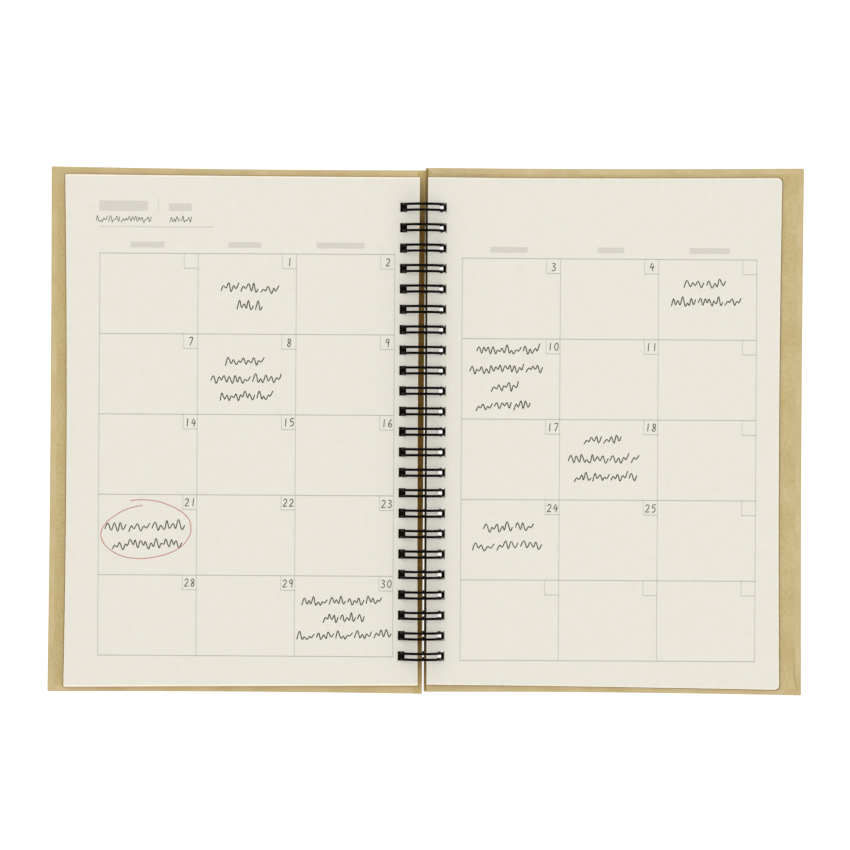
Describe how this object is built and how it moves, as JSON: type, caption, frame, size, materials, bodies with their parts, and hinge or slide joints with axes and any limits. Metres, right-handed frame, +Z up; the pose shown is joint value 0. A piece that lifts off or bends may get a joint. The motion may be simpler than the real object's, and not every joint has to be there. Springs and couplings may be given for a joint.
{
  "type": "monthly planner",
  "caption": "Wire-bound monthly planner with plain board covers, lying open and flat on ruled month pages, with covers and leaves that turn about the ring binding.",
  "frame": {"origin": "middle of the open planner's footprint, on the table it lies on", "axes": "+X to the right across the open pages, +Y up the pages along the wire binding, +Z up from the table"},
  "size_m": [0.314, 0.22, 0.0178],
  "materials": {
    "cover_board": "matte",
    "page_paper": "matte",
    "printed_ink": "matte",
    "coated_wire": "satin"
  },
  "bodies": {
    "binding": {"back_cover": "cover_board", "wire_binding": "coated_wire"},
    "front": {"front_cover": "cover_board"},
    "turned_leaves": {"left_pages": "page_paper", "left_page_print": "printed_ink"},
    "coming_leaves": {"right_pages": "page_paper", "right_page_print": "printed_ink"}
  },
  "joints": [
    {"name": "front_cover_turn", "type": "hinge", "parent": "binding", "child": "front", "pos_m": [-0.00134, -0.00077, 0.00896], "axis": [0, 1, 0], "range_deg": [0, 181.93]},
    {"name": "left_pages_turn", "type": "hinge", "parent": "front", "child": "turned_leaves", "pos_m": [-0.00134, -0.00077, 0.00896], "axis": [0, 1, 0], "range_deg": [0, 180]},
    {"name": "right_pages_turn", "type": "hinge", "parent": "binding", "child": "coming_leaves", "pos_m": [-0.00134, -0.00077, 0.00896], "axis": [0, -1, 0], "range_deg": [0, 180]}
  ]
}
